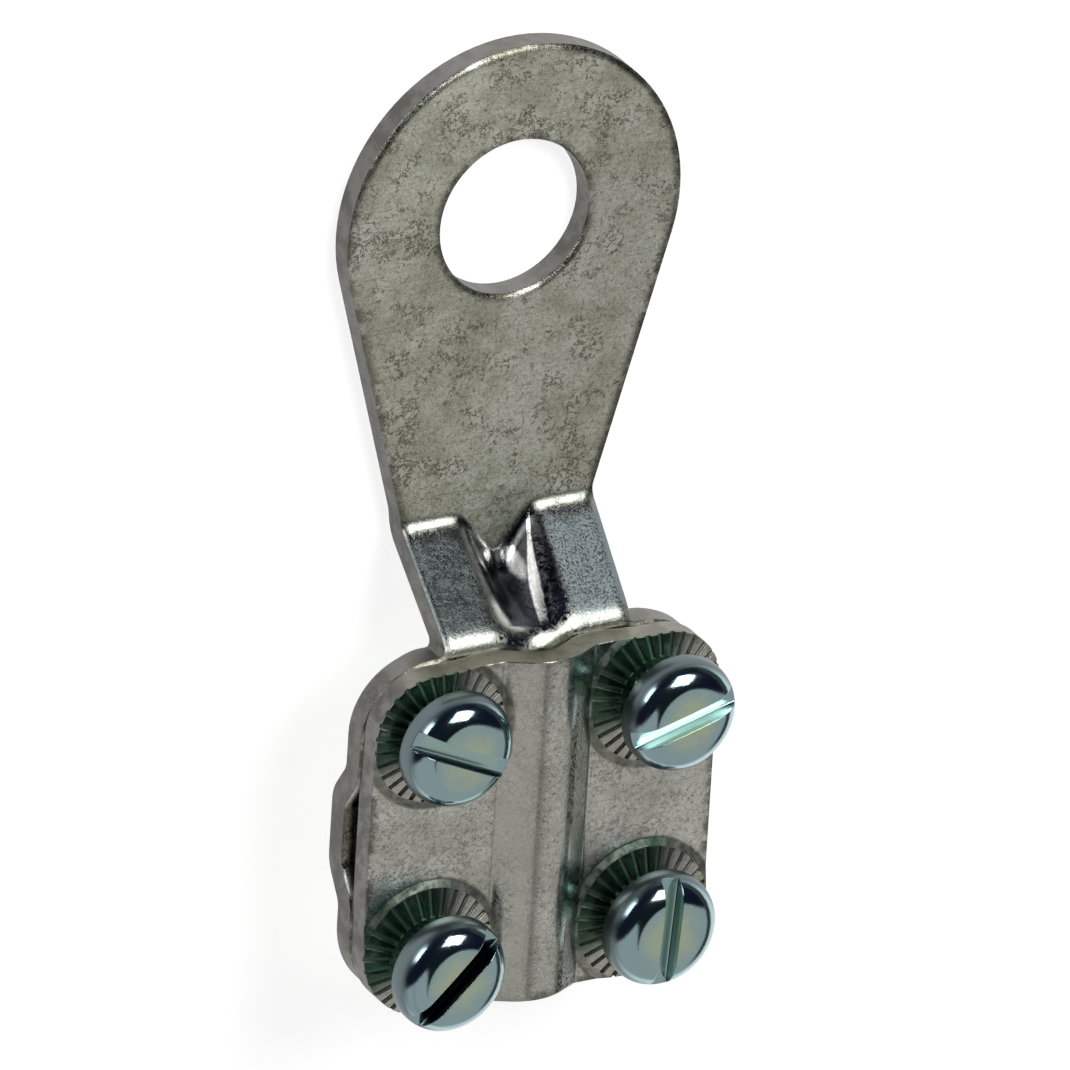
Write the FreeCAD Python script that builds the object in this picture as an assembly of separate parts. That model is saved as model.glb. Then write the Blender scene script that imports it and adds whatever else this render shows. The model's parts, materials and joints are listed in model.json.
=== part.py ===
"""Grounding cable lug: a formed ring-tongue lug whose clamp end is closed by a plate and four screws.

Row frame, millimetres. The origin is the centre of the stud hole on the tongue's back face.
+Z is the hole's axis, towards the screw heads. +Y runs from the clamp to the ring. +X is to the
right when the part is seen from the front with the ring on top.
"""
import FreeCAD
import Part
import math
import os

Vec = FreeCAD.Vector

# Tongue
lug_sheet = 2.0             # thickness of the lug's sheet
ring_diameter = 29.0
stud_hole_diameter = 13.0
taper_end = 24.4            # from the hole's centre to the corner where the taper becomes the neck
taper_end_width = 16.8
taper_end_radius = 3.0

# Neck
bend_start = 24.45          # from the hole's centre to the start of the upper bend
neck_run = 8.8              # length of the joggle along the lug
neck_rise = 7.65            # height of the clamp base over the tongue
upper_bend_radius = 1.3     # inner radii of the two bends
lower_bend_radius = 0.6
neck_foot_width = 16.1
shoulder_fillet = 0.6
groove_half_width = 3.8     # groove down the middle of the neck
groove_reach = 3.0          # how far the groove sets back the upper bend, along the lug
groove_foot_reach = 1.2     # the same at the lower bend, where the groove runs out
groove_bend_radius = 3.0    # inner radius of the upper bend in the groove
groove_section_step = 0.5
groove_run_on = 0.5         # flat sheet that the groove's sections take in past the bends

# Clamp base, the lower part of the lug
clamp_centre = 47.5         # from the stud hole's centre to the middle of the screw pattern
clamp_width = 30.0
clamp_length = 29.2
clamp_corner_radius = 5.0   # the plate's corners on the ring's side
clamp_end_radius = 6.0      # the plate's corners at the far end
base_margin = 0.15          # how far the base stands out past the clamp plate all round
base_corner_radius = 6.0    # the base's corners, as the plate's
base_end_radius = 7.0
cross_half_width = 5.2      # channel across the base for a crossing conductor
cross_floor_half_width = 2.5
cross_depth = 1.9
cross_floor_radius = 1.0
cross_edge_radius = 3.5

# Clamp plate
plate_sheet = 2.0
bead_half_width = 4.0       # lengthwise bead over the main conductor
bead_flank_angle = 27.5
bead_crest_radius = 5.0
bead_foot_radius = 0.8
seat_radius = 6.3           # raised seats under the screw heads, turned in flats
seat_step = 0.25
seat_step_width = 0.6
seat_rise = 0.55
seat_crown_radius = 3.4
serration_count = 30        # radial grooves that grip the head
serration_outer_radius = 5.6
serration_width = 0.4
serration_depth = 0.22

# Screws
screw_pitch_x = 18.9
screw_pitch_y = 18.9
screw_diameter = 5.0
screw_length = 10.0
screw_point_chamfer = 0.6
thread_clearance = 0.05     # radial, between shank and tapped hole
plate_hole_clearance = 0.25
head_diameter = 9.4
head_height = 2.7
head_crown_radius = 2.0
head_crown_steps = 5        # flats that stand for the crown's curve
head_edge_chamfer = 0.2
slot_width = 1.55
slot_depth = 1.65
# name, side in x, side in y, height of the head over its seat, slot angle from +X
screws = [
    ("screw_upper_left", -1, 1, 1.35, -24.5),
    ("screw_upper_right", 1, 1, 2.35, 16.0),
    ("screw_lower_left", -1, -1, 2.25, 44.5),
    ("screw_lower_right", 1, -1, 1.45, 86.5),
]

# Levels and lengths that follow from the sizes above
base_back = neck_rise
base_front = base_back + lug_sheet
plate_back = base_front
plate_front = plate_back + plate_sheet
seat_top = plate_front + seat_step + seat_rise
clamp_y = -clamp_centre
base_width = clamp_width + 2 * base_margin
base_length = clamp_length + 2 * base_margin
die_reach = 2 * clamp_centre        # how far the forming tools run past the blank
die_top = base_front + screw_length


def rounded(points, radii):
    """Edges through points, with a tangent arc of the given radius at each inner point."""
    edges = []
    start = points[0]
    for before, corner, after, radius in zip(points, points[1:], points[2:], radii):
        back = (before - corner).normalize()
        ahead = (after - corner).normalize()
        half = back.getAngle(ahead) / 2
        tangent = radius / math.tan(half)
        first = corner + back * tangent
        last = corner + ahead * tangent
        bisector = (back + ahead).normalize()
        middle = corner + bisector * (radius / math.sin(half) - radius)
        edges.append(Part.makeLine(start, first))
        edges.append(Part.Arc(first, middle, last).toShape())
        start = last
    edges.append(Part.makeLine(start, points[-1]))
    return edges


def offset_line(points, normal, distance):
    """The polyline moved sideways by distance, with mitred corners; normal is the plane's normal."""
    sides = []
    for first, last in zip(points, points[1:]):
        sides.append((last - first).normalize().cross(normal))
    moved = [points[0] + sides[0] * distance]
    for corner, before, after in zip(points[1:], sides, sides[1:]):
        bisector = (before + after).normalize()
        moved.append(corner + bisector * (distance / bisector.dot(before)))
    moved.append(points[-1] + sides[-1] * distance)
    return moved


def region_above(edges, top, direction):
    """Prism over an open line of edges: closed at height top and extruded along direction."""
    line = Part.Wire(edges)
    ends = line.OrderedVertexes
    first = ends[0].Point
    last = ends[-1].Point
    over_first = Vec(first.x, first.y, top)
    over_last = Vec(last.x, last.y, top)
    lid = [Part.makeLine(last, over_last), Part.makeLine(over_last, over_first),
           Part.makeLine(over_first, first)]
    return Part.Face(Part.Wire(edges + lid)).extrude(direction)


def groove_share(x):
    """How much of the groove's reach there is at x: all of it in the middle, none past its edges."""
    if abs(x) >= groove_half_width:
        return 0
    return (1 + math.cos(math.pi * x / groove_half_width)) / 2


def neck_section(level, lower_radius, upper_radius, x, front, rear):
    """Section at x, from y = front to y = rear, of the space over one face of the joggled sheet."""
    share = groove_share(x)
    lower_radius = lower_radius + share * (groove_bend_radius - upper_bend_radius)
    start = -bend_start - share * groove_reach
    end = -bend_start - neck_run - share * groove_foot_reach
    high_level = level + neck_rise
    low_centre = Vec(x, start, level + lower_radius)
    high_centre = Vec(x, end, high_level - upper_radius)
    radius_sum = lower_radius + upper_radius
    run = start - end
    drop = neck_rise - radius_sum
    angle = math.atan2(drop, run) + math.asin(radius_sum / math.hypot(run, drop))

    def on_low(turn):
        return low_centre - Vec(0, math.sin(turn), math.cos(turn)) * lower_radius

    def on_high(turn):
        return high_centre + Vec(0, math.sin(turn), math.cos(turn)) * upper_radius

    first = Vec(x, front, level)
    last = Vec(x, rear, high_level)
    over_last = Vec(x, rear, die_top)
    over_first = Vec(x, front, die_top)
    return Part.Wire([
        Part.makeLine(first, on_low(0)),
        Part.Arc(on_low(0), on_low(angle / 2), on_low(angle)).toShape(),
        Part.makeLine(on_low(angle), on_high(angle)),
        Part.Arc(on_high(angle), on_high(angle / 2), on_high(0)).toShape(),
        Part.makeLine(on_high(0), last),
        Part.makeLine(last, over_last),
        Part.makeLine(over_last, over_first),
        Part.makeLine(over_first, first),
    ])


def neck_tool(level, lower_radius, upper_radius):
    """Space over one face of the joggled sheet, with the groove that the neck is pressed to."""
    steps = math.ceil(groove_half_width / groove_section_step)
    edge = steps * groove_section_step
    front = groove_run_on - bend_start
    rear = -bend_start - neck_run - groove_foot_reach - groove_run_on
    sections = [neck_section(level, lower_radius, upper_radius, step * groove_section_step, front, rear)
                for step in range(-steps, steps + 1)]
    middle = Part.makeLoft(sections, True)
    side = Part.Face(neck_section(level, lower_radius, upper_radius, edge, die_reach, -die_reach))
    right = side.extrude(Vec(clamp_width - edge, 0, 0))
    left = right.mirror(Vec(0, 0, 0), Vec(1, 0, 0))
    over_ring = Part.makeBox(2 * edge, die_reach - front, die_top - level, Vec(-edge, front, level))
    over_base = Part.makeBox(2 * edge, die_reach + rear, die_top - level - neck_rise,
                             Vec(-edge, -die_reach, level + neck_rise))
    return middle.fuse([left, right, over_ring, over_base]).removeSplitter()


def cross_line(level):
    """Bottom line of the cross channel, as corner points in a plane along the lug."""
    x = -clamp_width
    return [Vec(x, clamp_y - 2 * cross_half_width, level), Vec(x, clamp_y - cross_half_width, level),
            Vec(x, clamp_y - cross_floor_half_width, level - cross_depth),
            Vec(x, clamp_y + cross_floor_half_width, level - cross_depth),
            Vec(x, clamp_y + cross_half_width, level), Vec(x, clamp_y + 2 * cross_half_width, level)]


def lug_punch():
    """Space over the lug's front face."""
    tool = neck_tool(lug_sheet, upper_bend_radius, lower_bend_radius + lug_sheet)
    cross = rounded(cross_line(base_front),
                    [cross_edge_radius, cross_floor_radius, cross_floor_radius, cross_edge_radius])
    return tool.fuse(region_above(cross, die_top, Vec(2 * clamp_width, 0, 0)))


def lug_die():
    """Space over the lug's back face."""
    tool = neck_tool(0, upper_bend_radius + lug_sheet, lower_bend_radius)
    cross_back = offset_line(cross_line(base_front), Vec(1, 0, 0), lug_sheet)
    cross = rounded(cross_back, [cross_edge_radius - lug_sheet, cross_floor_radius + lug_sheet,
                                 cross_floor_radius + lug_sheet, cross_edge_radius - lug_sheet])
    return tool.fuse(region_above(cross, die_top, Vec(2 * clamp_width, 0, 0)))


def lug_blank():
    """The lug's outline as a tall prism: ring, tapers, neck, shoulders and clamp base."""
    ring_radius = ring_diameter / 2
    corner = Vec(taper_end_width / 2, -taper_end, 0)
    reach = corner.Length
    turn = math.atan2(corner.y, corner.x) + math.acos(ring_radius / reach)
    touch = Vec(ring_radius * math.cos(turn), ring_radius * math.sin(turn), 0)
    top = clamp_y + base_length / 2
    bottom = clamp_y - base_length / 2
    right = [touch, corner, Vec(neck_foot_width / 2, top, 0), Vec(base_width / 2, top, 0),
             Vec(base_width / 2, bottom, 0)]
    left = [Vec(-point.x, point.y, 0) for point in reversed(right)]
    half_radii = [taper_end_radius, shoulder_fillet, base_corner_radius, base_end_radius]
    edges = rounded(right + left, half_radii + half_radii[::-1])
    edges.append(Part.Arc(left[-1], Vec(0, ring_radius, 0), touch).toShape())
    outline = Part.Face(Part.Wire(edges))
    outline.translate(Vec(0, 0, -lug_sheet))
    return outline.extrude(Vec(0, 0, die_top))


def screw_places():
    """Centres of the four screws, in the plane z = 0."""
    return [Vec(side_x * screw_pitch_x / 2, clamp_y + side_y * screw_pitch_y / 2, 0)
            for name, side_x, side_y, lift, slot_angle in screws]


def cable_lug():
    sheet = lug_die().cut(lug_punch()).common(lug_blank())
    holes = [Part.makeCylinder(stud_hole_diameter / 2, die_top, Vec(0, 0, -lug_sheet))]
    for place in screw_places():
        tapped_radius = screw_diameter / 2 + thread_clearance
        holes.append(Part.makeCylinder(tapped_radius, die_top, place))
    return sheet.cut(holes)


def plate_sheet_shape():
    """The clamp plate's sheet with its lengthwise bead, before blanking."""
    y = clamp_y - clamp_length
    half = clamp_width
    flank_rise = bead_half_width * math.tan(math.radians(bead_flank_angle))
    front = [Vec(-half, y, plate_front), Vec(-bead_half_width, y, plate_front),
             Vec(0, y, plate_front + flank_rise),
             Vec(bead_half_width, y, plate_front), Vec(half, y, plate_front)]
    back = offset_line(front, Vec(0, -1, 0), plate_sheet)
    front_edges = rounded(front, [bead_foot_radius, bead_crest_radius, bead_foot_radius])
    foot_back = bead_foot_radius + plate_sheet
    back_edges = rounded(back, [foot_back, bead_crest_radius - plate_sheet, foot_back])
    ends = [Part.makeLine(back[0], front[0]), Part.makeLine(front[-1], back[-1])]
    section = Part.Face(Part.Wire(Part.__sortEdges__(front_edges + back_edges + ends)))
    return section.extrude(Vec(0, 2 * clamp_length, 0))


def plate_blank():
    """The clamp plate's outline as a tall prism."""
    half = Vec(clamp_width / 2, clamp_length / 2, 0)
    middle = Vec(0, clamp_y, plate_back)
    corners = [middle + Vec(side_x * half.x, side_y * half.y, 0)
               for side_x, side_y in ((-1, -1), (1, -1), (1, 1), (-1, 1))]
    start = middle - Vec(0, half.y, 0)
    radii = [clamp_end_radius, clamp_corner_radius, clamp_corner_radius, clamp_end_radius]
    edges = rounded([start] + corners[1:] + corners[:1] + [start], radii)
    return Part.Face(Part.Wire(edges)).extrude(Vec(0, 0, die_top))


def seat_form(level, bottom):
    """A seat's raised form over the sheet face at level, down to bottom, with a flat for each groove."""
    crown = level + seat_step + seat_rise
    rings = [(seat_radius, bottom), (seat_radius, level), (seat_radius - seat_step_width, level + seat_step),
             (seat_crown_radius, crown)]
    corners = [[Vec(radius, 0, height) for radius, height in rings]]
    for step in range(1, serration_count):
        turn = FreeCAD.Rotation(Vec(0, 0, 1), 360 * step / serration_count)
        corners.append([turn.multVec(corner) for corner in corners[0]])
    faces = []
    for here, there in zip(corners, corners[1:] + corners[:1]):
        for low in range(len(rings) - 1):
            ring = [here[low], there[low], there[low + 1], here[low + 1], here[low]]
            faces.append(Part.Face(Part.makePolygon(ring)))
    for end in (0, -1):
        ring = [here[end] for here in corners]
        faces.append(Part.Face(Part.makePolygon(ring + ring[:1])))
    return Part.Solid(Part.Shell(faces))


def serrations():
    """Cutters for one seat's radial grooves, which follow the seat's slope."""
    slope = math.degrees(math.atan2(seat_rise, seat_radius - seat_step_width - seat_crown_radius))
    floor_start = seat_top - serration_depth / math.cos(math.radians(slope))
    length = (serration_outer_radius - seat_crown_radius) / math.cos(math.radians(slope))
    cutter = Part.makeBox(length, serration_width, plate_sheet, Vec(0, -serration_width / 2, 0))
    cutter.rotate(Vec(0, 0, 0), Vec(0, 1, 0), slope)
    cutter.translate(Vec(seat_crown_radius, 0, floor_start))
    return [cutter.rotated(Vec(0, 0, 0), Vec(0, 0, 1), 360 * (step + 0.5) / serration_count)
            for step in range(serration_count)]


def clamp_plate():
    raised = seat_form(plate_front, plate_front - plate_sheet / 4)
    dished = seat_form(plate_back, plate_back - plate_sheet)
    hole_radius = screw_diameter / 2 + plate_hole_clearance
    hole = Part.makeCylinder(hole_radius, die_top)
    grooves = serrations()
    sheet = plate_sheet_shape().fuse([raised.translated(place) for place in screw_places()])
    sheet = sheet.cut([dished.translated(place) for place in screw_places()])
    sheet = sheet.cut([hole.translated(place) for place in screw_places()])
    sheet = sheet.cut([groove.translated(place) for place in screw_places() for groove in grooves])
    return sheet.common(plate_blank())


def screw(lift, slot_angle):
    """A pan head screw on the Z axis, with its head lifted off the seat by lift."""
    under = seat_top + lift
    head_radius = head_diameter / 2
    top = under + head_height
    shank = screw_diameter / 2
    tip = under - screw_length
    crown_centre = Vec(head_radius - head_crown_radius, 0, top - head_crown_radius)
    crown = []
    for step in range(head_crown_steps + 1):
        turn = math.radians(90 * step / head_crown_steps)
        crown.append(crown_centre + Vec(math.cos(turn), 0, math.sin(turn)) * head_crown_radius)
    profile = [Vec(0, 0, tip), Vec(shank - screw_point_chamfer, 0, tip),
               Vec(shank, 0, tip + screw_point_chamfer), Vec(shank, 0, under),
               Vec(head_radius - head_edge_chamfer, 0, under),
               Vec(head_radius, 0, under + head_edge_chamfer)] + crown + [Vec(0, 0, top), Vec(0, 0, tip)]
    body = Part.Face(Part.makePolygon(profile)).revolve(Vec(0, 0, 0), Vec(0, 0, 1), 360)
    slot = Part.makeBox(head_diameter + 2, slot_width, slot_depth + 1,
                        Vec(-head_radius - 1, -slot_width / 2, top - slot_depth))
    slot.rotate(Vec(0, 0, 0), Vec(0, 0, 1), slot_angle)
    return body.cut(slot)


def main():
    os.makedirs("parts", exist_ok=True)
    cable_lug().exportStep("parts/cable_lug.step")
    clamp_plate().exportStep("parts/clamp_plate.step")
    for (name, side_x, side_y, lift, slot_angle), place in zip(screws, screw_places()):
        shape = screw(lift, slot_angle)
        shape.translate(place)
        shape.exportStep("parts/" + name + ".step")


main()
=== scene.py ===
"""Looks of the grounding cable lug: dull tinned sheet, bright zinc screws, pale studio floor.

Metres, in the row frame. The names that end in _MM are millimetres: shapes pass them through mm(),
and materials compare them with the surface point, which they read in millimetres too.

Some colour is painted light and shade, and stays on the part from every side: painted shade on the
groove's walls and vee, painted highlights and shade in the groove, painted shade on the neck panels,
painted light and shade across the ring, painted light on the cut walls that face the ring, painted shade
round the heads' sides, painted reflections and shade in the slots, and painted green shade on the seats.
"""
import bmesh
import bpy
import json
import math
from mathutils import Matrix, Vector


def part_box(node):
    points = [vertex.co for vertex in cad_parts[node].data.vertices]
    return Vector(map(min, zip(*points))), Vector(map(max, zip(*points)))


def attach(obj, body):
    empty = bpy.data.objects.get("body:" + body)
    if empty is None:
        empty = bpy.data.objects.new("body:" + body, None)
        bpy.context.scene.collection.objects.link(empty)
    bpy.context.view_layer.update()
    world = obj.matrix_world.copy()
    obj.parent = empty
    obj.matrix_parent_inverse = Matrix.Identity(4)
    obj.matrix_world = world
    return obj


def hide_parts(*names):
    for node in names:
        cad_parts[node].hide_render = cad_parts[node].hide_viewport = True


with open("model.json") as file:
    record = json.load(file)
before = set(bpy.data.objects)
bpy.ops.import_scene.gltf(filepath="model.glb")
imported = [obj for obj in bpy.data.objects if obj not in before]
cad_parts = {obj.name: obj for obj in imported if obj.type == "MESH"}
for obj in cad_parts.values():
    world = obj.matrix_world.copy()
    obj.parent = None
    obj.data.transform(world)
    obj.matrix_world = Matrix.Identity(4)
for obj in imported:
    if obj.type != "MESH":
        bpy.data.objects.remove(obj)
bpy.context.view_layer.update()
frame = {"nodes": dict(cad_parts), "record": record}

# Camera: where it stands seen from the part, and the turn of the picture about the line of sight
CAMERA_AZIMUTH = 225.632
CAMERA_ELEVATION = 50.975
CAMERA_ROLL = 130.796
CAMERA_TARGET_MM = (1.367, -25.745, 5.781)
CAMERA_DISTANCE = 3.0
CAMERA_LENS = 1313.56
SENSOR_WIDTH = 36.0

# Screws: slot angle from +X, and how bright the painted reflections in its slot are, 0 to 1
SCREWS = {
    "screw_upper_left": (-24.5, 0.12),
    "screw_upper_right": (16.0, 1.0),
    "screw_lower_left": (44.5, 0.0),
    "screw_lower_right": (86.5, 0.20),
}
HEAD_HEIGHT_MM = 2.7
HEAD_CROWN_MM = 2.0
HEAD_CROWN_REACH_MM = 2.4
HEAD_DOME_MM = 0.05
HEAD_CROWN_TOP_DEG = 79
HEAD_FOOT_MM = 0.2
HEAD_FOOT_START_DEG = -70
HEAD_FOOT_STEPS = 4
HEAD_CROWN_STEPS = 24
HEAD_DOME_STEPS = 6
HEAD_SEGMENTS = 144
SLOT_WIDTH_MM = 1.55
SLOT_DEPTH_MM = 1.35
SLOT_SOFT_MM = 0.12
THREAD_PITCH_MM = 0.8
THREAD_CREST_MM = 2.5
THREAD_ROOT_MM = 2.03
THREAD_FLANK = 2.3
THREAD_SEGMENTS = 48
THREAD_ROWS_PER_TURN = 10
POINT_CHAMFER_MM = 0.6
SMOOTH_ANGLE_DEG = 38

# Sheets: how softly their edges catch the light, and how far dirt reaches from an edge
LUG_EDGE_MM = 1.3
PLATE_EDGE_MM = 0.2
SEAT_EDGE_MM = 0.07
WALL_EDGE_MM = 0.2
NECK_SOFT_MM = 1.4
EDGE_DIRT_MM = 1.3
# How level a surface is, the Z of its normal: where it starts and ends being a cut wall or a slope
WALL_TILT = (0.30, 0.15)
SLOPE_TILT = (0.995, 0.965)
GROOVE_WALL_TILT = (0.57, 0.49)
VEE_TILT = (0.95, 0.86)

# Neck, in Y: its ends, its two mottled panels, and where the groove's painted shade on walls and vee ends
NECK_TOP_MM = -24.0
NECK_FOOT_MM = -35.0
PANEL_TOP_MM = -25.9
PANEL_FOOT_MM = -31.5
GROOVE_FOOT_MM = -32.8
VEE_FOOT_MM = (-30.6, -29.6)
# Neck, in X each way: where the panels begin, and where the groove's walls and its vee end
PANEL_SIDE_MM = (2.6, 4.2)
GROOVE_SIDE_MM = (4.6, 3.9)
VEE_SIDE_MM = (3.9, 2.7)
PANEL_TURN_MM = 3.0
# Painted highlights in the groove, a streak, a spot and the shining top, and the painted shade beside that
STREAK_START_MM = (2.36, -27.22)
STREAK_SLOPE = 0.25
STREAK_HALF_MM = 0.34
STREAK_END_MM = (-5.2, -4.6)
SPOT_HIGHLIGHT_MM = (-0.9, -28.6)
SHINE_MM = (1.0, -28.95)
SHINE_SQUASH = 1.7
SHADE_MM = (0.20, -28.95)
# Ring: how far its painted light and shade reach, in Y and in X each way
RING_SHADING_MM = 11.0

# Seats: the solids' own sizes, which place the grooves, the step and the painted green shade
SCREW_PITCH_HALF_MM = 9.45
CLAMP_CENTRE_MM = -47.5
PLATE_FRONT_MM = 11.65
SEAT_TOP_MM = 12.45
SEAT_CROWN_MM = 3.4
SEAT_SLOPE = 0.239
SEAT_FOOT_MM = 5.7
SEAT_OUTER_MM = 6.4
GROOVE_STEP_DEG = 12.0
GROOVE_LINE_MM = 0.13
GROOVE_TURNS = 60.0
SEAT_SHADE_SIDE = (-0.75, 0.66, 0)

# Colours of the plating and cut walls; the cut walls that face the ring are painted lighter, as lit
LUG_LIGHT = (0.705, 0.725, 0.63, 1)
LUG_DARK = (0.495, 0.51, 0.415, 1)
LUG_CUT = (0.18, 0.176, 0.165, 1)
LUG_LIT_WALL = (0.25, 0.245, 0.235, 1)
PLATE_LIGHT = (0.75, 0.755, 0.70, 1)
PLATE_DARK = (0.60, 0.60, 0.55, 1)
PLATE_CUT = (0.21, 0.205, 0.195, 1)
PLATE_LIT_WALL = (0.34, 0.33, 0.28, 1)
OLD_CUT = (0.12, 0.116, 0.108, 1)
SLOPE_COLOUR = (0.50, 0.52, 0.46, 1)
BRIGHT_GRIT = (0.92, 0.92, 0.88, 1)
# Colours of stains and darker marks, and of painted shade and highlights on the neck, groove and seats
BROWN_PATCH = (0.355, 0.355, 0.27, 1)
RUST_SPOT = (0.34, 0.25, 0.13, 1)
VEIN_COLOUR = (0.065, 0.060, 0.032, 1)
SPECK_COLOUR = (0.16, 0.145, 0.105, 1)
EDGE_STAIN = (0.10, 0.09, 0.055, 1)
WALL_STAIN = (0.17, 0.16, 0.125, 1)
PIT_COLOUR = (0.10, 0.11, 0.12, 1)
PANEL_SHADE_LEFT = (0.17, 0.225, 0.23, 1)
PANEL_SHADE_RIGHT = (0.43, 0.53, 0.56, 1)
GROOVE_WALL_SHADE = (0.06, 0.066, 0.075, 1)
VEE_SHADE = (0.09, 0.095, 0.095, 1)
SHADE_COLOUR = (0.015, 0.016, 0.018, 1)
GROOVE_HIGHLIGHT = (0.95, 0.94, 0.92, 1)
STEP_DARK = (0.16, 0.155, 0.125, 1)
GREEN_SEAT_SHADE = (0.022, 0.078, 0.042, 1)
DARK_GROOVE = (0.05, 0.05, 0.035, 1)
SHADED_GROOVE = (0.14, 0.22, 0.16, 1)
# Colours of the zinc, with painted shade round the heads' sides and painted reflections and shade in the slots
ZINC_STRAW = (0.55, 0.655, 0.49, 1)
ZINC_BLUE = (0.39, 0.555, 0.59, 1)
ZINC_CLOUD = (0.30, 0.40, 0.42, 1)
HEAD_SIDE_SHADE = (0.14, 0.18, 0.19, 1)
SLOT_FLOOR_SHADED = (0.05, 0.055, 0.10, 1)
SLOT_FLOOR_LIT = (0.44, 0.62, 0.58, 1)
SLOT_WALL_SHADED = (0.02, 0.025, 0.06, 1)
SLOT_WALL_LIT = (0.08, 0.17, 0.18, 1)
SLOT_WALL_HIGHLIGHT = (0.82, 1.0, 0.98, 1)

# World: a grey wall the front faces reflect, a dark ceiling behind the camera, a pale horizon
CEILING_AXIS = (-0.772, 0.479, 0.417)
RIGHT_CEILING_AXIS = (0.149, 0.988, 0.036)
CEILING_EDGE = (-0.05, 0.05)
ZENITH_HEIGHT = (0.75, 0.97)
LEFT_WALL_AXIS = (-0.62, -0.62, 0.48)
LEFT_WALL_EDGE = (0.61, 0.69)
LEFT_WALL_SIDE = (0.5, -0.866, 0)
LEFT_WALL_SOFT = 0.12
LOW_WALL_SIDE = (0.60, 0.75)
LOW_WALL_HEIGHT = (0.40, 0.30)
HORIZON_HEIGHT = (0.07, 0.03)
WALL_COLOUR = (0.50, 0.49, 0.48, 1)
ZENITH_COLOUR = (0.010, 0.015, 0.018, 1)
CEILING_COLOUR = (0.010, 0.011, 0.026, 1)
LOW_WALL_COLOUR = (0.06, 0.065, 0.06, 1)
HORIZON_COLOUR = (0.85, 0.85, 0.85, 1)
# Softboxes: direction from the part, distance, width, height, brightness
SOFTBOXES = {
    "softbox_right": ((0.28, 0.52, 0.81), 0.60, 0.28, 0.28, 6.5),
    "softbox_left": ((-0.75, 0.52, 0.41), 0.60, 0.27, 0.19, 4.5),
}
# Floor: just under the part, mid grey to the light and white to the eye and to mirrors
FLOOR_MM = -0.05
FLOOR_HALF = 1.2
FLOOR_COLOUR = (0.5, 0.5, 0.5, 1)
FLOOR_GLOW = 0.78


def mm(value):
    return value / 1000


def mm_vector(x, y, z):
    return Vector((x, y, z)) / 1000


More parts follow.
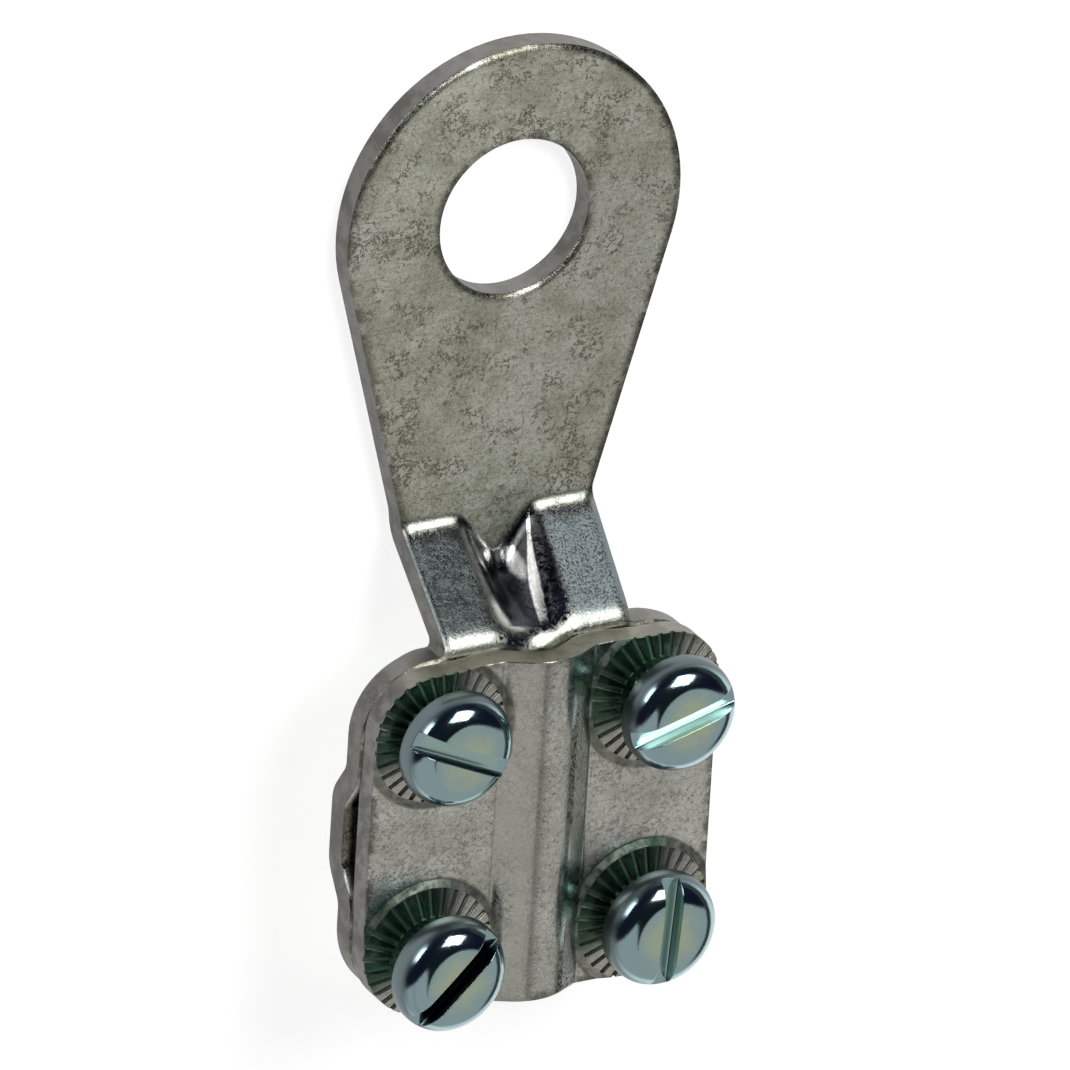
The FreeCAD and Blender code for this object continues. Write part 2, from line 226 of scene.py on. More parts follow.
class Nodes:
    """Short calls for building a node tree."""

    def __init__(self, tree):
        self.tree = tree

    def add(self, kind, inputs=None, **settings):
        node = self.tree.nodes.new(kind)
        for key, value in settings.items():
            setattr(node, key, value)
        for key, value in (inputs or {}).items():
            self.set(node, key, value)
        return node

    def set(self, node, key, value):
        if isinstance(value, bpy.types.NodeSocket):
            self.tree.links.new(value, node.inputs[key])
        else:
            node.inputs[key].default_value = value

    def math(self, operation, first, second=0.0, clamp=False):
        node = self.add("ShaderNodeMath", {0: first, 1: second}, operation=operation, use_clamp=clamp)
        return node.outputs[0]

    def product(self, first, *others):
        for other in others:
            first = self.math("MULTIPLY", first, other)
        return first

    def most(self, first, *others):
        for other in others:
            first = self.math("MAXIMUM", first, other)
        return first

    def without(self, mask):
        return self.math("SUBTRACT", 1.0, mask)

    def size_of(self, value):
        return self.math("ABSOLUTE", value)

    def mix(self, factor, first, second, blend="MIX"):
        node = self.add("ShaderNodeMix", {0: factor, 6: first, 7: second}, data_type="RGBA", blend_type=blend)
        return node.outputs[2]

    def mix_value(self, factor, first, second):
        node = self.add("ShaderNodeMix", {0: factor, 2: first, 3: second}, data_type="FLOAT")
        return node.outputs[0]

    def band(self, value, low, high, to_low=0.0, to_high=1.0):
        node = self.add("ShaderNodeMapRange", {0: value, 1: low, 2: high, 3: to_low, 4: to_high},
                        interpolation_type="SMOOTHSTEP")
        return node.outputs[0]

    def vector(self, operation, first, second):
        return self.add("ShaderNodeVectorMath", {0: first, 1: second}, operation=operation).outputs[0]

    def dot(self, vector, axis):
        node = self.add("ShaderNodeVectorMath", {0: vector, 1: axis}, operation="DOT_PRODUCT")
        return node.outputs["Value"]

    def length(self, vector):
        return self.add("ShaderNodeVectorMath", {0: vector}, operation="LENGTH").outputs["Value"]

    def distance(self, vector, spot):
        node = self.add("ShaderNodeVectorMath", {0: vector, 1: spot}, operation="DISTANCE")
        return node.outputs["Value"]

    def axes(self, vector):
        return self.add("ShaderNodeSeparateXYZ", {0: vector}).outputs

    def flat(self, x, y):
        return self.add("ShaderNodeCombineXYZ", {0: x, 1: y}).outputs[0]

    def object_mm(self):
        """The surface point in millimetres of the row frame."""
        point = self.add("ShaderNodeTexCoord").outputs["Object"]
        return self.add("ShaderNodeVectorMath", {0: point, "Scale": 1000.0}, operation="SCALE").outputs[0]

    def true_normal(self):
        return self.add("ShaderNodeNewGeometry").outputs["Normal"]

    def bevel(self, radius, samples):
        return self.add("ShaderNodeBevel", {"Radius": radius}, samples=samples).outputs[0]

    def bump(self, height, normal, strength, distance_mm):
        return self.add("ShaderNodeBump", {"Strength": strength, "Distance": mm(distance_mm),
                                           "Height": height, "Normal": normal}).outputs[0]

    def placed(self, vector, scale=(1, 1, 1), rotation=(0, 0, 0), location=(0, 0, 0)):
        node = self.add("ShaderNodeMapping", {"Vector": vector, "Scale": scale, "Rotation": rotation,
                                              "Location": location})
        return node.outputs[0]

    def noise(self, vector, scale, detail=3.0, roughness=0.5, distortion=0.0, shift=(0, 0, 0)):
        node = self.add("ShaderNodeTexNoise", {"Vector": self.placed(vector, location=shift), "Scale": scale,
                                               "Detail": detail, "Roughness": roughness,
                                               "Distortion": distortion})
        return node.outputs["Fac"]

    def metal(self, colour, roughness, normal):
        """Ends the tree in bare metal of one colour, roughness and normal."""
        shader = self.add("ShaderNodeBsdfPrincipled", {"Base Color": colour, "Metallic": 1.0,
                                                       "Roughness": roughness, "Normal": normal})
        self.add("ShaderNodeOutputMaterial", {"Surface": shader.outputs[0]})


def new_material(name):
    material = bpy.data.materials.new(name)
    material.use_nodes = True
    material.node_tree.nodes.clear()
    return material, Nodes(material.node_tree)


def scratches(nodes, point, angle, stretch, scale, low, high):
    """Thin straight marks across the sheet at one angle, 0 or 1."""
    turned = nodes.placed(point, rotation=(0, 0, math.radians(angle)), scale=(1, stretch, 1))
    return nodes.band(nodes.noise(turned, scale, 1.0, 0.3, 0.15), low, high)


def ridge(nodes, field, width):
    """Thin lines where a noise field crosses its middle, 0 or 1."""
    return nodes.band(nodes.size_of(nodes.math("SUBTRACT", field, 0.5)), width, 0.0)


def crackle_marks(nodes, point, crackle):
    """Dark veins in patches, finer hairs between the patches and a few long scratches, 0 to 1."""
    veins = ridge(nodes, nodes.noise(point, 1.15, 7.0, 0.70, 0.25, (4, 1, 8)), 0.040)
    hairs = ridge(nodes, nodes.noise(point, 2.0, 6.0, 0.68, 0.3, (9, 5, 1)), 0.030)
    patch = nodes.noise(point, 0.26, 4.0, 0.65, shift=(11, 6, 2))
    veins = nodes.product(veins, nodes.band(patch, 0.46, 0.57), crackle)
    hairs = nodes.product(hairs, nodes.band(patch, 0.58, 0.46), 0.5)
    lines = nodes.most(scratches(nodes, point, 17, 55.0, 0.16, 0.765, 0.785),
                       scratches(nodes, point, -58, 50.0, 0.18, 0.76, 0.78))
    return nodes.most(veins, hairs, nodes.product(lines, 0.6))


class Sheet:
    """A plating material as it builds up: where things are, and the colour, roughness and bump so far."""

    def __init__(self, name, light, dark, crackle):
        self.material, self.nodes = new_material(name)
        nodes = self.nodes
        self.point = nodes.object_mm()
        place = nodes.axes(self.point)
        self.x = place["X"]
        self.y = place["Y"]
        self.z = place["Z"]
        self.aside = nodes.size_of(self.x)
        self.normal = nodes.true_normal()
        facing = nodes.axes(self.normal)
        self.facing_y = facing["Y"]
        self.tilt = nodes.size_of(facing["Z"])
        self.wall = nodes.band(self.tilt, *WALL_TILT)
        self.flat = nodes.without(self.wall)
        self.slope = nodes.band(self.tilt, *SLOPE_TILT)
        self.patch = nodes.noise(self.point, 0.55, 5.0, 0.68, shift=(7, 3, 5))
        self.speck = nodes.noise(self.point, 2.6, 4.0, 0.66, shift=(1, 8, 3))
        self.grit = nodes.noise(self.point, 7.0, 2.0, 0.5, shift=(2, 9, 4))
        self.marks = crackle_marks(nodes, self.point, crackle)
        cloud = nodes.noise(self.point, 0.20, 5.0, 0.62)
        self.colour = nodes.mix(nodes.band(cloud, 0.38, 0.62), dark, light)
        self.rough = nodes.mix_value(nodes.band(self.speck, 0.35, 0.65), 0.16, 0.30)
        self.rough = nodes.mix_value(self.slope, self.rough, nodes.mix_value(self.speck, 0.05, 0.13))
        height = nodes.math("ADD", nodes.product(self.speck, 0.6), nodes.product(self.grit, 0.25))
        self.height = nodes.math("SUBTRACT", height, nodes.product(self.marks, 0.4))

    def paint(self, colour, *masks):
        self.colour = self.nodes.mix(self.nodes.product(*masks), self.colour, colour)

    def roughen(self, rough, *masks):
        self.rough = self.nodes.mix_value(self.nodes.product(*masks), self.rough, rough)

    def age(self):
        """Brown patches, thin dark veins, rust spots, dark specks and bright grit."""
        nodes = self.nodes
        self.paint(BROWN_PATCH, nodes.band(self.patch, 0.50, 0.66), 0.24)
        self.paint(VEIN_COLOUR, self.marks, 0.95)
        self.paint(RUST_SPOT, nodes.band(self.patch, 0.71, 0.75), 0.7)
        self.paint(SPECK_COLOUR, nodes.band(self.speck, 0.57, 0.66), 0.65)
        self.paint(BRIGHT_GRIT, nodes.band(self.grit, 0.58, 0.70), 0.45)

    def stain_edges(self):
        """Dirt along the edges, and cleaner metal on the slopes."""
        nodes = self.nodes
        turned = nodes.dot(nodes.bevel(mm(EDGE_DIRT_MM), 6), self.normal)
        edge = nodes.band(turned, 0.9995, 0.96)
        self.paint(EDGE_STAIN, edge, nodes.band(self.patch, 0.38, 0.54), 0.85)
        self.paint(SLOPE_COLOUR, self.slope, 0.6)

    def shear_walls(self, fresh_cut, lit_wall):
        """Cut walls, darker than the plating, with painted light on the walls that face the ring."""
        nodes = self.nodes
        sheared = nodes.mix(nodes.band(self.patch, 0.40, 0.60), fresh_cut, OLD_CUT)
        mottled = nodes.product(nodes.band(self.patch, 0.42, 0.60), 0.5)
        upper = nodes.mix(mottled, lit_wall, WALL_STAIN)
        # Painted light on the cut walls that face the ring
        sheared = nodes.mix(nodes.band(self.facing_y, 0.72, 0.98), sheared, upper)
        self.paint(sheared, self.wall)

    def finished(self, edge_radius):
        nodes = self.nodes
        radius = nodes.mix_value(self.wall, edge_radius, mm(WALL_EDGE_MM))
        self.roughen(0.45, self.wall)
        nodes.metal(self.colour, self.rough, nodes.bump(self.height, nodes.bevel(radius, 8), 0.22, 0.05))
        return self.material


def ring_shading(sheet):
    """Painted light and shade: the ring is a little brighter at its far end and duller towards +X."""
    nodes = sheet.nodes
    painted_light = nodes.product(nodes.band(sheet.y, 1.0, RING_SHADING_MM, 1.0, 1.13),
                         nodes.band(sheet.x, -RING_SHADING_MM, RING_SHADING_MM, 1.03, 0.90))
    sheet.colour = nodes.mix(1.0, sheet.colour, painted_light, "MULTIPLY")


def mottle_panels(sheet, on_neck):
    """Flecked, pitted metal either side of the groove, painted shade deepening towards -X, and glossy bends."""
    nodes = sheet.nodes
    peel = nodes.noise(sheet.point, 6.0, 5.0, 0.75, shift=(3, 3, 7))
    broad = nodes.noise(sheet.point, 0.45, 3.0, 0.6, shift=(5, 2, 2))
    outside = nodes.band(sheet.aside, *PANEL_SIDE_MM)
    panel = nodes.product(nodes.band(sheet.y, PANEL_TOP_MM + 0.5, PANEL_TOP_MM - 0.5),
                          nodes.band(sheet.y, PANEL_FOOT_MM - 0.5, PANEL_FOOT_MM + 0.5))
    mottled = nodes.product(panel, sheet.slope, outside, sheet.flat)
    leaning = nodes.math("ADD", nodes.product(sheet.x, 0.022), nodes.product(broad, 0.9))
    flecks = nodes.product(nodes.band(leaning, 0.22, 0.60), nodes.band(peel, 0.44, 0.56))
    sheet.roughen(0.20, on_neck, sheet.slope, outside)
    sheet.roughen(0.50, mottled, flecks)
    sheet.height = nodes.math("ADD", sheet.height, nodes.product(mottled, peel, 2.4))
    sheet.paint(PIT_COLOUR, mottled, nodes.band(peel, 0.52, 0.44), 0.7)
    # Painted shade on the panels, deeper towards -X
    panel_shade = nodes.mix(nodes.band(sheet.x, -PANEL_TURN_MM, PANEL_TURN_MM), PANEL_SHADE_LEFT, PANEL_SHADE_RIGHT)
    sheet.paint(panel_shade, mottled, 0.65)


def groove_streak(sheet):
    """A painted highlight: a narrow streak down one wall of the groove, 0 or 1."""
    nodes = sheet.nodes
    down = nodes.math("SUBTRACT", sheet.y, STREAK_START_MM[1])
    line = nodes.math("ADD", nodes.product(down, STREAK_SLOPE), STREAK_START_MM[0])
    aside = nodes.size_of(nodes.math("SUBTRACT", sheet.x, line))
    half = nodes.band(down, 0.3, -3.5, 0.3 * STREAK_HALF_MM, STREAK_HALF_MM)
    streak = nodes.band(nodes.math("DIVIDE", aside, half), 1.15, 0.75)
    return nodes.product(streak, nodes.band(down, *STREAK_END_MM))


def groove_spots(sheet):
    """Painted highlights in the groove, a spot and the shining top, and painted shade beside that, 0 to 1."""
    nodes = sheet.nodes
    flat = nodes.flat(sheet.x, sheet.y)
    spot_highlight = nodes.product(nodes.band(nodes.distance(flat, (*SPOT_HIGHLIGHT_MM, 0)), 0.55, 0.2), 0.7)
    squashed = nodes.placed(flat, scale=(SHINE_SQUASH, 1, 1))
    top = (SHINE_SQUASH * SHINE_MM[0], SHINE_MM[1], 0)
    shine = nodes.band(nodes.distance(squashed, top), 1.2, 0.6)
    shade = nodes.band(nodes.distance(flat, (*SHADE_MM, 0)), 0.66, 0.46)
    return spot_highlight, shine, shade


def darken_groove(sheet, on_neck):
    """Groove walls and vee painted dark as shade, with painted highlights and shade on them."""
    nodes = sheet.nodes
    walls = nodes.product(on_neck, nodes.band(sheet.tilt, *GROOVE_WALL_TILT),
                          nodes.band(sheet.aside, *GROOVE_SIDE_MM),
                          nodes.band(sheet.y, GROOVE_FOOT_MM - 0.6, GROOVE_FOOT_MM))
    vee = nodes.product(on_neck, nodes.band(sheet.tilt, *VEE_TILT), nodes.band(sheet.aside, *VEE_SIDE_MM),
                        nodes.band(sheet.y, *VEE_FOOT_MM))
    spot_highlight, shine, shade = groove_spots(sheet)
    bright = nodes.most(groove_streak(sheet), spot_highlight, shine)
    # Painted shade on the groove's walls and vee and beside its top, then painted highlights
    sheet.paint(GROOVE_WALL_SHADE, walls)
    sheet.paint(VEE_SHADE, vee)
    sheet.paint(SHADE_COLOUR, shade, on_neck, 0.95)
    sheet.paint(GROOVE_HIGHLIGHT, nodes.most(walls, vee), bright)
    sheet.roughen(0.24, shine, on_neck)


def lug_tin():
    """Dull tin over pressed sheet, with a mottled neck and a groove with painted shade and highlights."""
    sheet = Sheet("lug_tin", LUG_LIGHT, LUG_DARK, 1.0)
    nodes = sheet.nodes
    on_neck = nodes.product(nodes.band(sheet.y, NECK_TOP_MM + 1.0, NECK_TOP_MM),
                            nodes.band(sheet.y, NECK_FOOT_MM - 1.0, NECK_FOOT_MM))
    sheet.age()
    ring_shading(sheet)
    sheet.stain_edges()
    sheet.shear_walls(LUG_CUT, LUG_LIT_WALL)
    mottle_panels(sheet, on_neck)
    darken_groove(sheet, on_neck)
    return sheet.finished(nodes.mix_value(on_neck, mm(LUG_EDGE_MM), mm(NECK_SOFT_MM)))


def around_screw(sheet):
    """The surface point from the nearest screw's axis: X, Y and distance."""
    nodes = sheet.nodes
    column = nodes.product(nodes.math("SIGN", sheet.x), SCREW_PITCH_HALF_MM)
    along = nodes.math("SUBTRACT", sheet.y, CLAMP_CENTRE_MM)
    row = nodes.product(nodes.math("SIGN", along), SCREW_PITCH_HALF_MM)
    off_x = nodes.math("SUBTRACT", sheet.x, column)
    off_y = nodes.math("SUBTRACT", along, row)
    return off_x, off_y, nodes.length(nodes.flat(off_x, off_y))


def groove_floors(sheet, off_x, off_y, reach):
    """The floors of a seat's radial grooves, 0 or 1: near a groove's line and under the seat's cone."""
    nodes = sheet.nodes
    drop = nodes.product(nodes.math("SUBTRACT", reach, SEAT_CROWN_MM), SEAT_SLOPE)
    depth = nodes.math("SUBTRACT", nodes.math("SUBTRACT", SEAT_TOP_MM, drop), sheet.z)
    step = math.radians(GROOVE_STEP_DEG)
    turn = nodes.math("DIVIDE", nodes.math("ARCTAN2", off_y, off_x), step)
    turn = nodes.math("FRACT", nodes.math("ADD", turn, GROOVE_TURNS))
    aside = nodes.product(nodes.size_of(nodes.math("SUBTRACT", turn, 0.5)), reach, step)
    return nodes.product(nodes.band(depth, 0.05, 0.12), nodes.band(reach, SEAT_FOOT_MM, SEAT_FOOT_MM - 0.1),
                         nodes.band(aside, GROOVE_LINE_MM + 0.05, GROOVE_LINE_MM - 0.04))


def seat_zones(sheet):
    """On the seats: the whole seat, its step, its grooves' floors and its upper left side, 0 or 1."""
    nodes = sheet.nodes
    off_x, off_y, reach = around_screw(sheet)
    front = nodes.band(sheet.z, PLATE_FRONT_MM - 0.4, PLATE_FRONT_MM - 0.15)
    seat = nodes.product(front, nodes.band(reach, SEAT_OUTER_MM + 0.15, SEAT_OUTER_MM - 0.15), sheet.flat)
    step = nodes.product(seat, nodes.band(reach, SEAT_FOOT_MM - 0.15, SEAT_FOOT_MM + 0.05))
    groove = nodes.product(groove_floors(sheet, off_x, off_y, reach), front, sheet.flat)
    # Each seat's upper left side, which gets painted green shade
    toward = nodes.math("DIVIDE", nodes.dot(nodes.flat(off_x, off_y), SEAT_SHADE_SIDE), reach)
    seat_shade = nodes.product(seat, nodes.band(toward, 0.10, 0.62))
    return seat, step, groove, seat_shade


def plate_tin():
    """Dull tin over pressed sheet, with painted green shade and dark groove floors on the screw seats."""
    sheet = Sheet("plate_tin", PLATE_LIGHT, PLATE_DARK, 0.6)
    nodes = sheet.nodes
    seat, step, groove, seat_shade = seat_zones(sheet)
    ragged = nodes.noise(sheet.point, 0.9, 4.0, 0.7, shift=(6, 4, 9))
    sheet.age()
    sheet.stain_edges()
    sheet.shear_walls(PLATE_CUT, PLATE_LIT_WALL)
    # The step painted darker in ragged patches where there is no painted shade
    sheet.paint(STEP_DARK, step, nodes.without(seat_shade), nodes.band(ragged, 0.36, 0.58, 0.25, 0.85))
    step_unshaded = nodes.product(step, nodes.band(ragged, 0.62, 0.42), 0.5)
    # Painted green shade on each seat's upper left side, with ragged gaps on the step
    sheet.paint(GREEN_SEAT_SHADE, seat_shade, nodes.without(step_unshaded),
                nodes.band(ragged, 0.22, 0.46, 0.45, 1.0), 0.93)
    # Groove floors painted dark, and lighter green within the painted shade
    groove_tone = nodes.mix(seat_shade, DARK_GROOVE, SHADED_GROOVE)
    sheet.paint(groove_tone, groove, nodes.band(sheet.speck, 0.25, 0.50, 0.45, 0.95))
    sheet.roughen(0.24, seat, 0.8)
    sheet.roughen(0.38, nodes.most(step, groove))
    return sheet.finished(nodes.mix_value(seat, mm(PLATE_EDGE_MM), mm(SEAT_EDGE_MM)))


def zinc_colour(nodes, radius, tilt, cloud, fine):
    """Straw at the middle of the head, blue at its rim, clouded, and painted shade round its side."""
    rim = nodes.band(nodes.math("ADD", radius, nodes.product(cloud, 2.4)), 2.2, 4.4)
    colour = nodes.mix(rim, ZINC_STRAW, ZINC_BLUE)
    colour = nodes.mix(nodes.product(nodes.band(fine, 0.52, 0.70), 0.35), colour, ZINC_CLOUD)
    # Painted shade round the head's side
    side = nodes.product(nodes.band(tilt, 0.74, 0.46), nodes.band(radius, 3.6, 4.2))
    return nodes.mix(side, colour, HEAD_SIDE_SHADE), side


def slot_colour(nodes, colour, slot, tilt, painted_light):
    """Painted reflections and shade in the slots, from nearly black to pale green."""
    slot_lit = nodes.band(painted_light, 0.0, 0.1)
    colour = nodes.mix(slot, colour, nodes.mix(slot_lit, SLOT_FLOOR_SHADED, SLOT_FLOOR_LIT))
    wall = nodes.mix(painted_light, nodes.mix(slot_lit, SLOT_WALL_SHADED, SLOT_WALL_LIT), SLOT_WALL_HIGHLIGHT)
    return nodes.mix(nodes.product(slot, nodes.band(tilt, 0.70, 0.40)), colour, wall)


def zinc_screw():
    """Bright zinc, faint turning lines on the head; the object's colour sets its slot's painted reflections."""
    material, nodes = new_material("zinc_screw")
    point = nodes.object_mm()
    level = nodes.axes(point)["Z"]
    radius = nodes.length(nodes.vector("MULTIPLY", point, (1, 1, 0)))
    tilt = nodes.size_of(nodes.axes(nodes.true_normal())["Z"])
    screw = nodes.add("ShaderNodeObjectInfo").outputs
    painted_light = nodes.add("ShaderNodeSeparateColor", {0: screw["Color"]}).outputs[0]
    shifted = nodes.vector("ADD", point, nodes.product(screw["Random"], 40.0))
    cloud = nodes.noise(shifted, 0.55, 3.0, 0.55)
    fine = nodes.noise(shifted, 5.0, 3.0, 0.6)
    slot = nodes.product(nodes.band(level, HEAD_HEIGHT_MM - 0.35, HEAD_HEIGHT_MM - 0.6),
                         nodes.band(radius, 4.1, 3.3), nodes.band(level, 0.4, 0.8))
    colour, side = zinc_colour(nodes, radius, tilt, cloud, fine)
    colour = slot_colour(nodes, colour, slot, tilt, painted_light)
    rough = nodes.mix_value(side, nodes.mix_value(fine, 0.05, 0.15), 0.35)
    rough = nodes.mix_value(slot, rough, nodes.mix_value(painted_light, 0.14, 0.32))
    rings = nodes.math("SINE", nodes.product(radius, 38.0))
    height = nodes.math("ADD", nodes.product(rings, 0.12), fine)
    nodes.metal(colour, rough, nodes.bump(height, nodes.bevel(mm(SLOT_SOFT_MM), 6), 0.10, 0.03))
    return material


def pale_floor():
    material, nodes = new_material("pale_floor")
    diffuse = nodes.add("ShaderNodeBsdfDiffuse", {"Color": FLOOR_COLOUR})
    path = nodes.add("ShaderNodeLightPath").outputs
    seen = nodes.math("ADD", path["Is Camera Ray"], path["Is Glossy Ray"])
    seen = nodes.math("ADD", seen, path["Is Transmission Ray"], clamp=True)
    glow = nodes.add("ShaderNodeEmission", {"Color": (1, 1, 1, 1),
                                            "Strength": nodes.product(seen, FLOOR_GLOW)})
    both = nodes.add("ShaderNodeAddShader", {0: diffuse.outputs[0], 1: glow.outputs[0]})
    nodes.add("ShaderNodeOutputMaterial", {"Surface": both.outputs[0]})
    return material


def link_object(name, data):
    item = bpy.data.objects.new(name, data)
    bpy.context.scene.collection.objects.link(item)
    return item


def to_mesh(shape, name):
    bmesh.ops.recalc_face_normals(shape, faces=shape.faces)
    mesh = bpy.data.meshes.new(name)
    shape.to_mesh(mesh)
    shape.free()
    return mesh


def bridge(shape, low, high):
    """Quads between two rings of as many vertices."""
    count = len(low)
    for step in range(count):
        after = (step + 1) % count
        shape.faces.new((low[step], low[after], high[after], high[step]))


def lathe(profile, segments):
    """A closed mesh turned about Z from (radius, z) points that start and end on the axis."""
    shape = bmesh.new()
    rings = []
    for radius, z in profile[1:-1]:
        ring = []
        for step in range(segments):
            turn = 2 * math.pi * step / segments
            ring.append(shape.verts.new((radius * math.cos(turn), radius * math.sin(turn), z)))
        rings.append(ring)
    for low, high in zip(rings, rings[1:]):
        bridge(shape, low, high)
    foot = shape.verts.new((0, 0, profile[0][1]))
    top = shape.verts.new((0, 0, profile[-1][1]))
    for step in range(segments):
        after = (step + 1) % segments
        shape.faces.new((foot, rings[0][after], rings[0][step]))
        shape.faces.new((top, rings[-1][step], rings[-1][after]))
    return shape


def arc(centre, reach, rise, first, last, steps):
    """Points of an elliptic arc in the (radius, z) plane, from one angle to another in degrees."""
    points = []
    for step in range(steps + 1):
        turn = math.radians(first + (last - first) * step / steps)
        points.append((centre[0] + reach * math.cos(turn), centre[1] + rise * math.sin(turn)))
    return points


def head_profile(head_radius):
    """Pan head from its underside at z = 0 to its slightly domed top."""
    foot = mm(HEAD_FOOT_MM)
    crown = mm(HEAD_CROWN_MM)
    reach = mm(HEAD_CROWN_REACH_MM)
    height = mm(HEAD_HEIGHT_MM)
    dome = mm(HEAD_DOME_MM)
    crown_top = math.radians(HEAD_CROWN_TOP_DEG)
    centre = (head_radius - reach, height - dome - crown * math.sin(crown_top))
    flat = centre[0] + reach * math.cos(crown_top)
    profile = [(0, 0), (head_radius - foot, 0)]
    profile += arc((head_radius - foot, foot), foot, foot, HEAD_FOOT_START_DEG, 0, HEAD_FOOT_STEPS)
    profile += arc(centre, reach, crown, 0, HEAD_CROWN_TOP_DEG, HEAD_CROWN_STEPS)
    for step in range(1, HEAD_DOME_STEPS):
        share = 1 - step / HEAD_DOME_STEPS
        profile.append((flat * share, height - dome * share * share))
    profile.append((0, height))
    return profile


def slot_cutter(head_radius, angle):
    """Bar that cuts the slot, with its two lower edges rounded."""
    shape = bmesh.new()
    bmesh.ops.create_cube(shape, size=1.0)
    rise = mm(HEAD_HEIGHT_MM)
    centre = Vector((0, 0, mm(HEAD_HEIGHT_MM - SLOT_DEPTH_MM) + rise / 2))
    bmesh.ops.scale(shape, vec=(4 * head_radius, mm(SLOT_WIDTH_MM), rise), verts=shape.verts)
    lower_edges = [edge for edge in shape.edges
                   if abs(edge.verts[0].co.x - edge.verts[1].co.x) > head_radius and edge.verts[0].co.z < 0]
    bmesh.ops.bevel(shape, geom=lower_edges, offset=mm(SLOT_SOFT_MM), segments=3, profile=0.5,
                    affect="EDGES")
    bmesh.ops.translate(shape, vec=centre, verts=shape.verts)
    bmesh.ops.rotate(shape, matrix=Matrix.Rotation(math.radians(angle), 3, "Z"), verts=shape.verts)
    return shape


def cut_mesh(solid, cutter):
    """The solid less the cutter, as a new mesh."""
    body = link_object("blank", solid)
    tool = link_object("cutter", cutter)
    change = body.modifiers.new("cut", "BOOLEAN")
    change.operation = "DIFFERENCE"
    change.solver = "EXACT"
    change.object = tool
    graph = bpy.context.evaluated_depsgraph_get()
    result = bpy.data.meshes.new_from_object(body.evaluated_get(graph))
    for piece in (body, tool):
        bpy.data.objects.remove(piece)
    return result


def thread_ring(shape, z, limit):
    """One ring of the threaded shank: its radius rises to the crest and falls to the root in a turn."""
    crest = mm(THREAD_CREST_MM)
    root = mm(THREAD_ROOT_MM)
    ring = []
    for step in range(THREAD_SEGMENTS):
        turn = step / THREAD_SEGMENTS
        phase = (z / mm(THREAD_PITCH_MM) - turn) % 1.0
        rise = min(1.0, THREAD_FLANK * min(phase, 1 - phase))
        radius = min(limit, root + (crest - root) * rise)
        angle = 2 * math.pi * turn
        ring.append(shape.verts.new((radius * math.cos(angle), radius * math.sin(angle), z)))
    return ring


def thread_shape(length, over):
    """Threaded shank under z = 0: a helical ridge on a cylinder, with a chamfered point."""
    rows = math.ceil((length + over) / mm(THREAD_PITCH_MM) * THREAD_ROWS_PER_TURN)
    shape = bmesh.new()
    rings = []
    for row in range(rows + 1):
        z = over - (length + over) * row / rows
        limit = mm(THREAD_CREST_MM) - max(0.0, mm(POINT_CHAMFER_MM) - (length + z))
        rings.append(thread_ring(shape, z, limit))
    for high, low in zip(rings, rings[1:]):
        bridge(shape, low, high)
    shape.faces.new(rings[0])
    shape.faces.new(rings[-1])
    return shape


def screw_mesh(name, head_radius, length, angle):
    """Turned head with a cut slot, and a threaded shank under it."""
    blank = to_mesh(lathe(head_profile(head_radius), HEAD_SEGMENTS), "head_blank")
    head = cut_mesh(blank, to_mesh(slot_cutter(head_radius, angle), "slot_cutter"))
    whole = bmesh.new()
    whole.from_mesh(head)
    whole.from_mesh(to_mesh(thread_shape(length, mm(HEAD_FOOT_MM)), "thread"))
    mesh = to_mesh(whole, name)
    mesh.set_sharp_from_angle(angle=math.radians(SMOOTH_ANGLE_DEG))
    for polygon in mesh.polygons:
        polygon.use_smooth = True
    return mesh


def detailed_screw(node, angle, material):
    """A screw with a slot and a real thread, in the place of the plain solid."""
    low, high = (Vector(corner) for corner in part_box(node))
    under = high.z - mm(HEAD_HEIGHT_MM)
    mesh = screw_mesh(node + "_detailed", (high.x - low.x) / 2, under - low.z, angle)
    mesh.materials.append(material)
    piece = link_object(node + "_detailed", mesh)
    piece.location = ((low.x + high.x) / 2, (low.y + high.y) / 2, under)
    bodies = frame["record"]["behaviour"]["bodies"]
    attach(piece, next(body for body, nodes in bodies.items() if node in nodes))
    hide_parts(node)
    return piece


def dress(node, material):
    mesh = frame["nodes"][node].data
    mesh.materials.clear()
    mesh.materials.append(material)


def make_screws():
    zinc = zinc_screw()
    for node, (angle, painted_light) in SCREWS.items():
        dress(node, zinc)
        piece = detailed_screw(node, angle, zinc)
        # How bright the painted reflections in this screw's slot are
        piece.color = (painted_light, painted_light, painted_light, 1)


def make_floor():
    mesh = bpy.data.meshes.new("floor")
    level = mm(FLOOR_MM)
    corners = [(-FLOOR_HALF, -FLOOR_HALF, level), (FLOOR_HALF, -FLOOR_HALF, level),
               (FLOOR_HALF, FLOOR_HALF, level), (-FLOOR_HALF, FLOOR_HALF, level)]
    mesh.from_pydata(corners, [], [(0, 1, 2, 3)])
    mesh.materials.append(pale_floor())
    link_object("floor", mesh)


def softbox(name, direction, distance, width, height, brightness):
    """An area lamp that shines on the part from a direction in the row frame."""
    light = bpy.data.lights.new(name, "AREA")
    light.shape = "RECTANGLE"
    light.size = width
    light.size_y = height
    light.energy = brightness * math.pi * width * height
    away = Vector(direction).normalized()
    turn = away.to_track_quat("Z", "Y").to_matrix().to_4x4()
    lamp = link_object(name, light)
    lamp.matrix_world = Matrix.Translation(mm_vector(*CAMERA_TARGET_MM) + away * distance) @ turn


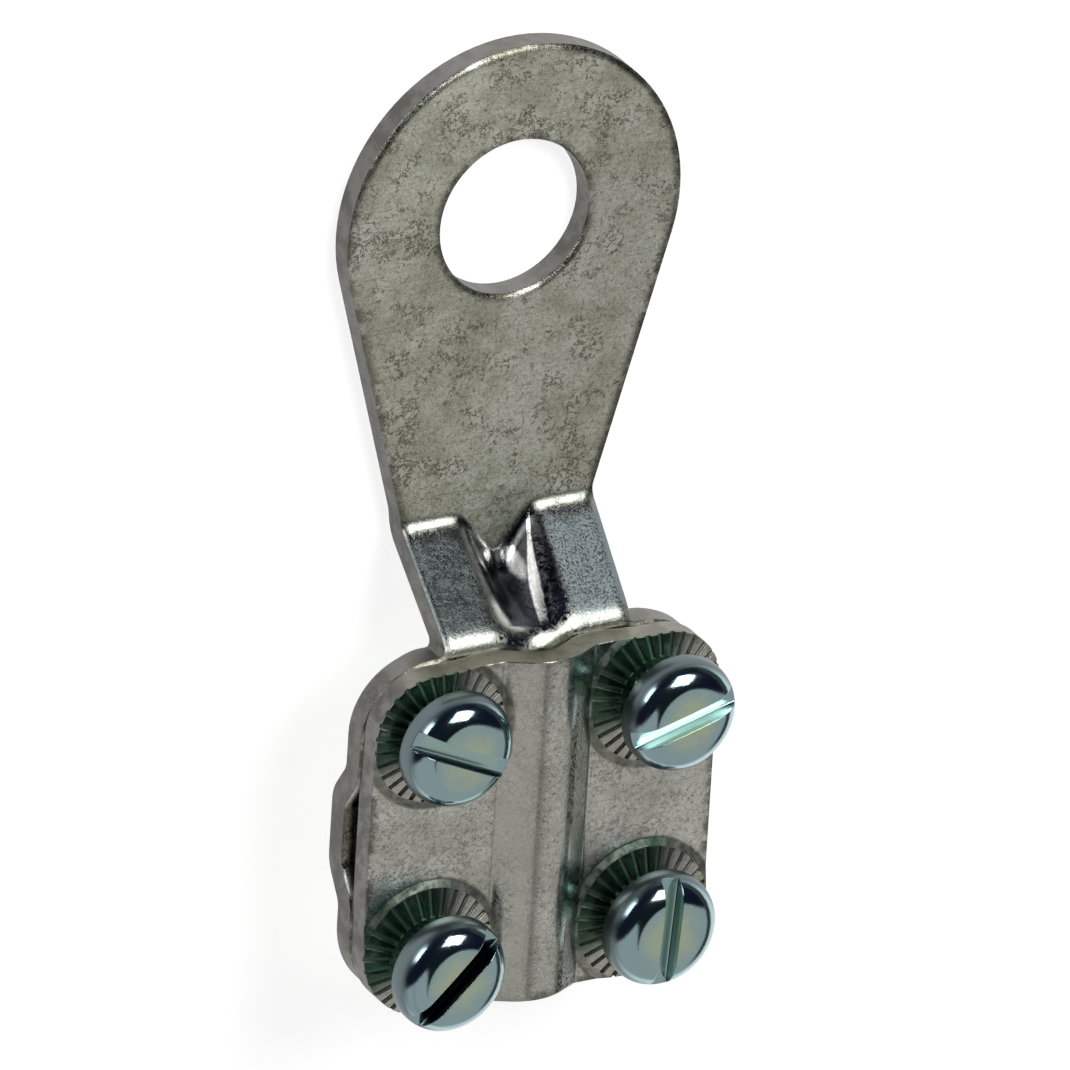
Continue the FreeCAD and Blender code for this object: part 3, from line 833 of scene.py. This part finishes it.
def ceiling_mask(nodes, direction):
    """The dark ceiling, behind the camera and on its right, less a grey panel on the left, 0 or 1."""
    dark = nodes.most(nodes.band(nodes.dot(direction, CEILING_AXIS), *CEILING_EDGE),
                      nodes.band(nodes.dot(direction, RIGHT_CEILING_AXIS), *CEILING_EDGE))
    panel = nodes.product(nodes.band(nodes.dot(direction, LEFT_WALL_AXIS), *LEFT_WALL_EDGE),
                          nodes.band(nodes.dot(direction, LEFT_WALL_SIDE), -LEFT_WALL_SOFT, 0.0))
    return nodes.product(dark, nodes.without(panel))


def make_world():
    """A studio with a grey wall towards -Y, a dark ceiling behind the camera and a pale horizon."""
    world = bpy.data.worlds.new("studio")
    bpy.context.scene.world = world
    world.use_nodes = True
    world.node_tree.nodes.clear()
    nodes = Nodes(world.node_tree)
    direction = nodes.add("ShaderNodeTexCoord").outputs["Generated"]
    place = nodes.axes(direction)
    overhead = nodes.mix(nodes.band(place["Z"], *ZENITH_HEIGHT), CEILING_COLOUR, ZENITH_COLOUR)
    low = nodes.product(nodes.band(place["X"], *LOW_WALL_SIDE), nodes.band(place["Z"], *LOW_WALL_HEIGHT))
    colour = nodes.mix(ceiling_mask(nodes, direction), WALL_COLOUR, overhead)
    colour = nodes.mix(low, colour, LOW_WALL_COLOUR)
    colour = nodes.mix(nodes.band(place["Z"], *HORIZON_HEIGHT), colour, HORIZON_COLOUR)
    background = nodes.add("ShaderNodeBackground", {"Color": colour, "Strength": 1.0})
    nodes.add("ShaderNodeOutputWorld", {"Surface": background.outputs[0]})


def make_camera():
    camera = bpy.data.cameras.new("camera")
    camera.lens = CAMERA_LENS
    camera.sensor_width = SENSOR_WIDTH
    camera.clip_start = 0.1
    camera.clip_end = 10.0
    turn = (Matrix.Rotation(math.radians(CAMERA_AZIMUTH), 4, "Z")
            @ Matrix.Rotation(math.radians(90 - CAMERA_ELEVATION), 4, "X")
            @ Matrix.Rotation(math.radians(CAMERA_ROLL), 4, "Z"))
    back = turn.to_3x3() @ Vector((0, 0, 1))
    holder = link_object("camera", camera)
    holder.matrix_world = Matrix.Translation(mm_vector(*CAMERA_TARGET_MM) + back * CAMERA_DISTANCE) @ turn
    bpy.context.scene.camera = holder


make_camera()
make_world()
make_floor()
for name, place in SOFTBOXES.items():
    softbox(name, *place)
dress("cable_lug", lug_tin())
dress("clamp_plate", plate_tin())
make_screws()
bpy.context.scene.view_settings.view_transform = "Standard"
